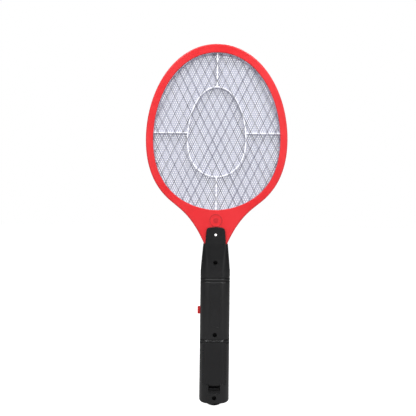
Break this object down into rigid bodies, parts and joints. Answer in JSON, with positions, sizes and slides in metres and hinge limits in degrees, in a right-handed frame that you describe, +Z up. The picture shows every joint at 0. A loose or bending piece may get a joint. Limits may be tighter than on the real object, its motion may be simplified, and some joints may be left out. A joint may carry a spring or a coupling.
{
  "type": "electric fly swatter",
  "caption": "Battery-powered electric fly swatter: oval racket head with charged grids between guard grids, on a straight handle with a side push button.",
  "frame": {"origin": "lowest point of the hanging lug, on the racket's centre line and mid-plane", "axes": "+Z up the racket from handle to head, +X across the head, -Y out of the side with the battery door, screws and lamp; the push button faces -X"},
  "size_m": [0.18, 0.03, 0.46],
  "materials": {
    "red_plastic": "moulded ABS, satin gloss",
    "outer_grid_metal": "expanded aluminium sheet, bright edges",
    "center_grid_metal": "expanded aluminium sheet, satin",
    "white_plastic": "moulded white insulating plastic",
    "black_plastic": "moulded black ABS, satin",
    "door_plastic": "moulded black ABS, satin",
    "screw_steel": "blackened steel",
    "battery_sleeve": "plain sleeve over a metal can",
    "spring_steel": "nickel-plated spring wire",
    "contact_plate": "nickel-plated strip",
    "button_red": "moulded plastic, satin gloss",
    "switch_housing": "moulded plastic",
    "switch_plunger": "moulded plastic",
    "board_laminate": "glass laminate with green mask",
    "ferrite": "sintered ferrite",
    "copper_winding": "enamelled copper wire",
    "capacitor_case": "dipped epoxy film capacitor",
    "transistor_case": "moulded epoxy",
    "diode_case": "moulded epoxy",
    "resistor_coating": "lacquered ceramic",
    "lamp_lens": "diffused white lens",
    "tinned_wire": "tinned wire",
    "red_insulation": "flexible insulation",
    "black_insulation": "flexible insulation"
  },
  "bodies": {
    "racket": {"head_frame_rear": "red_plastic", "head_frame_front": "red_plastic", "outer_grid_rear": "outer_grid_metal", "outer_grid_front": "outer_grid_metal", "center_grid": "center_grid_metal", "grid_spacer_rear": "white_plastic", "grid_spacer_front": "white_plastic", "handle_rear_shell": "black_plastic", "handle_front_shell": "black_plastic", "case_screws": "screw_steel", "board_screws": "screw_steel", "battery_cell_left": "battery_sleeve", "battery_cell_right": "battery_sleeve", "contact_spring_left": "spring_steel", "contact_spring_right": "spring_steel", "series_bridge": "contact_plate", "positive_plate": "contact_plate", "negative_plate": "contact_plate", "push_switch_body": "switch_housing", "circuit_board": "board_laminate", "transformer_core": "ferrite", "transformer_winding": "copper_winding", "high_voltage_capacitor": "capacitor_case", "transistor": "transistor_case", "rectifier_diodes": "diode_case", "resistors": "resistor_coating", "indicator_lamp": "lamp_lens", "lamp_leads": "tinned_wire", "lead_center_grid": "red_insulation", "lead_outer_grid_front": "black_insulation", "lead_outer_grid_rear": "black_insulation", "lead_battery_positive": "red_insulation", "lead_battery_negative": "black_insulation"},
    "button": {"power_button": "button_red", "push_switch_plunger": "switch_plunger"},
    "door": {"battery_door": "door_plastic"}
  },
  "joints": [
    {"name": "button_press", "type": "slide", "parent": "racket", "child": "button", "axis": [1, 0, 0], "range_m": [0, 0.002], "stiffness_N_per_m": 400, "springref_m": -0.002},
    {"name": "battery_door_hinge", "type": "hinge", "parent": "racket", "child": "door", "pos_m": [0, -0.015, 0.0833], "axis": [-1, 0, 0], "range_deg": [0, 75]}
  ]
}
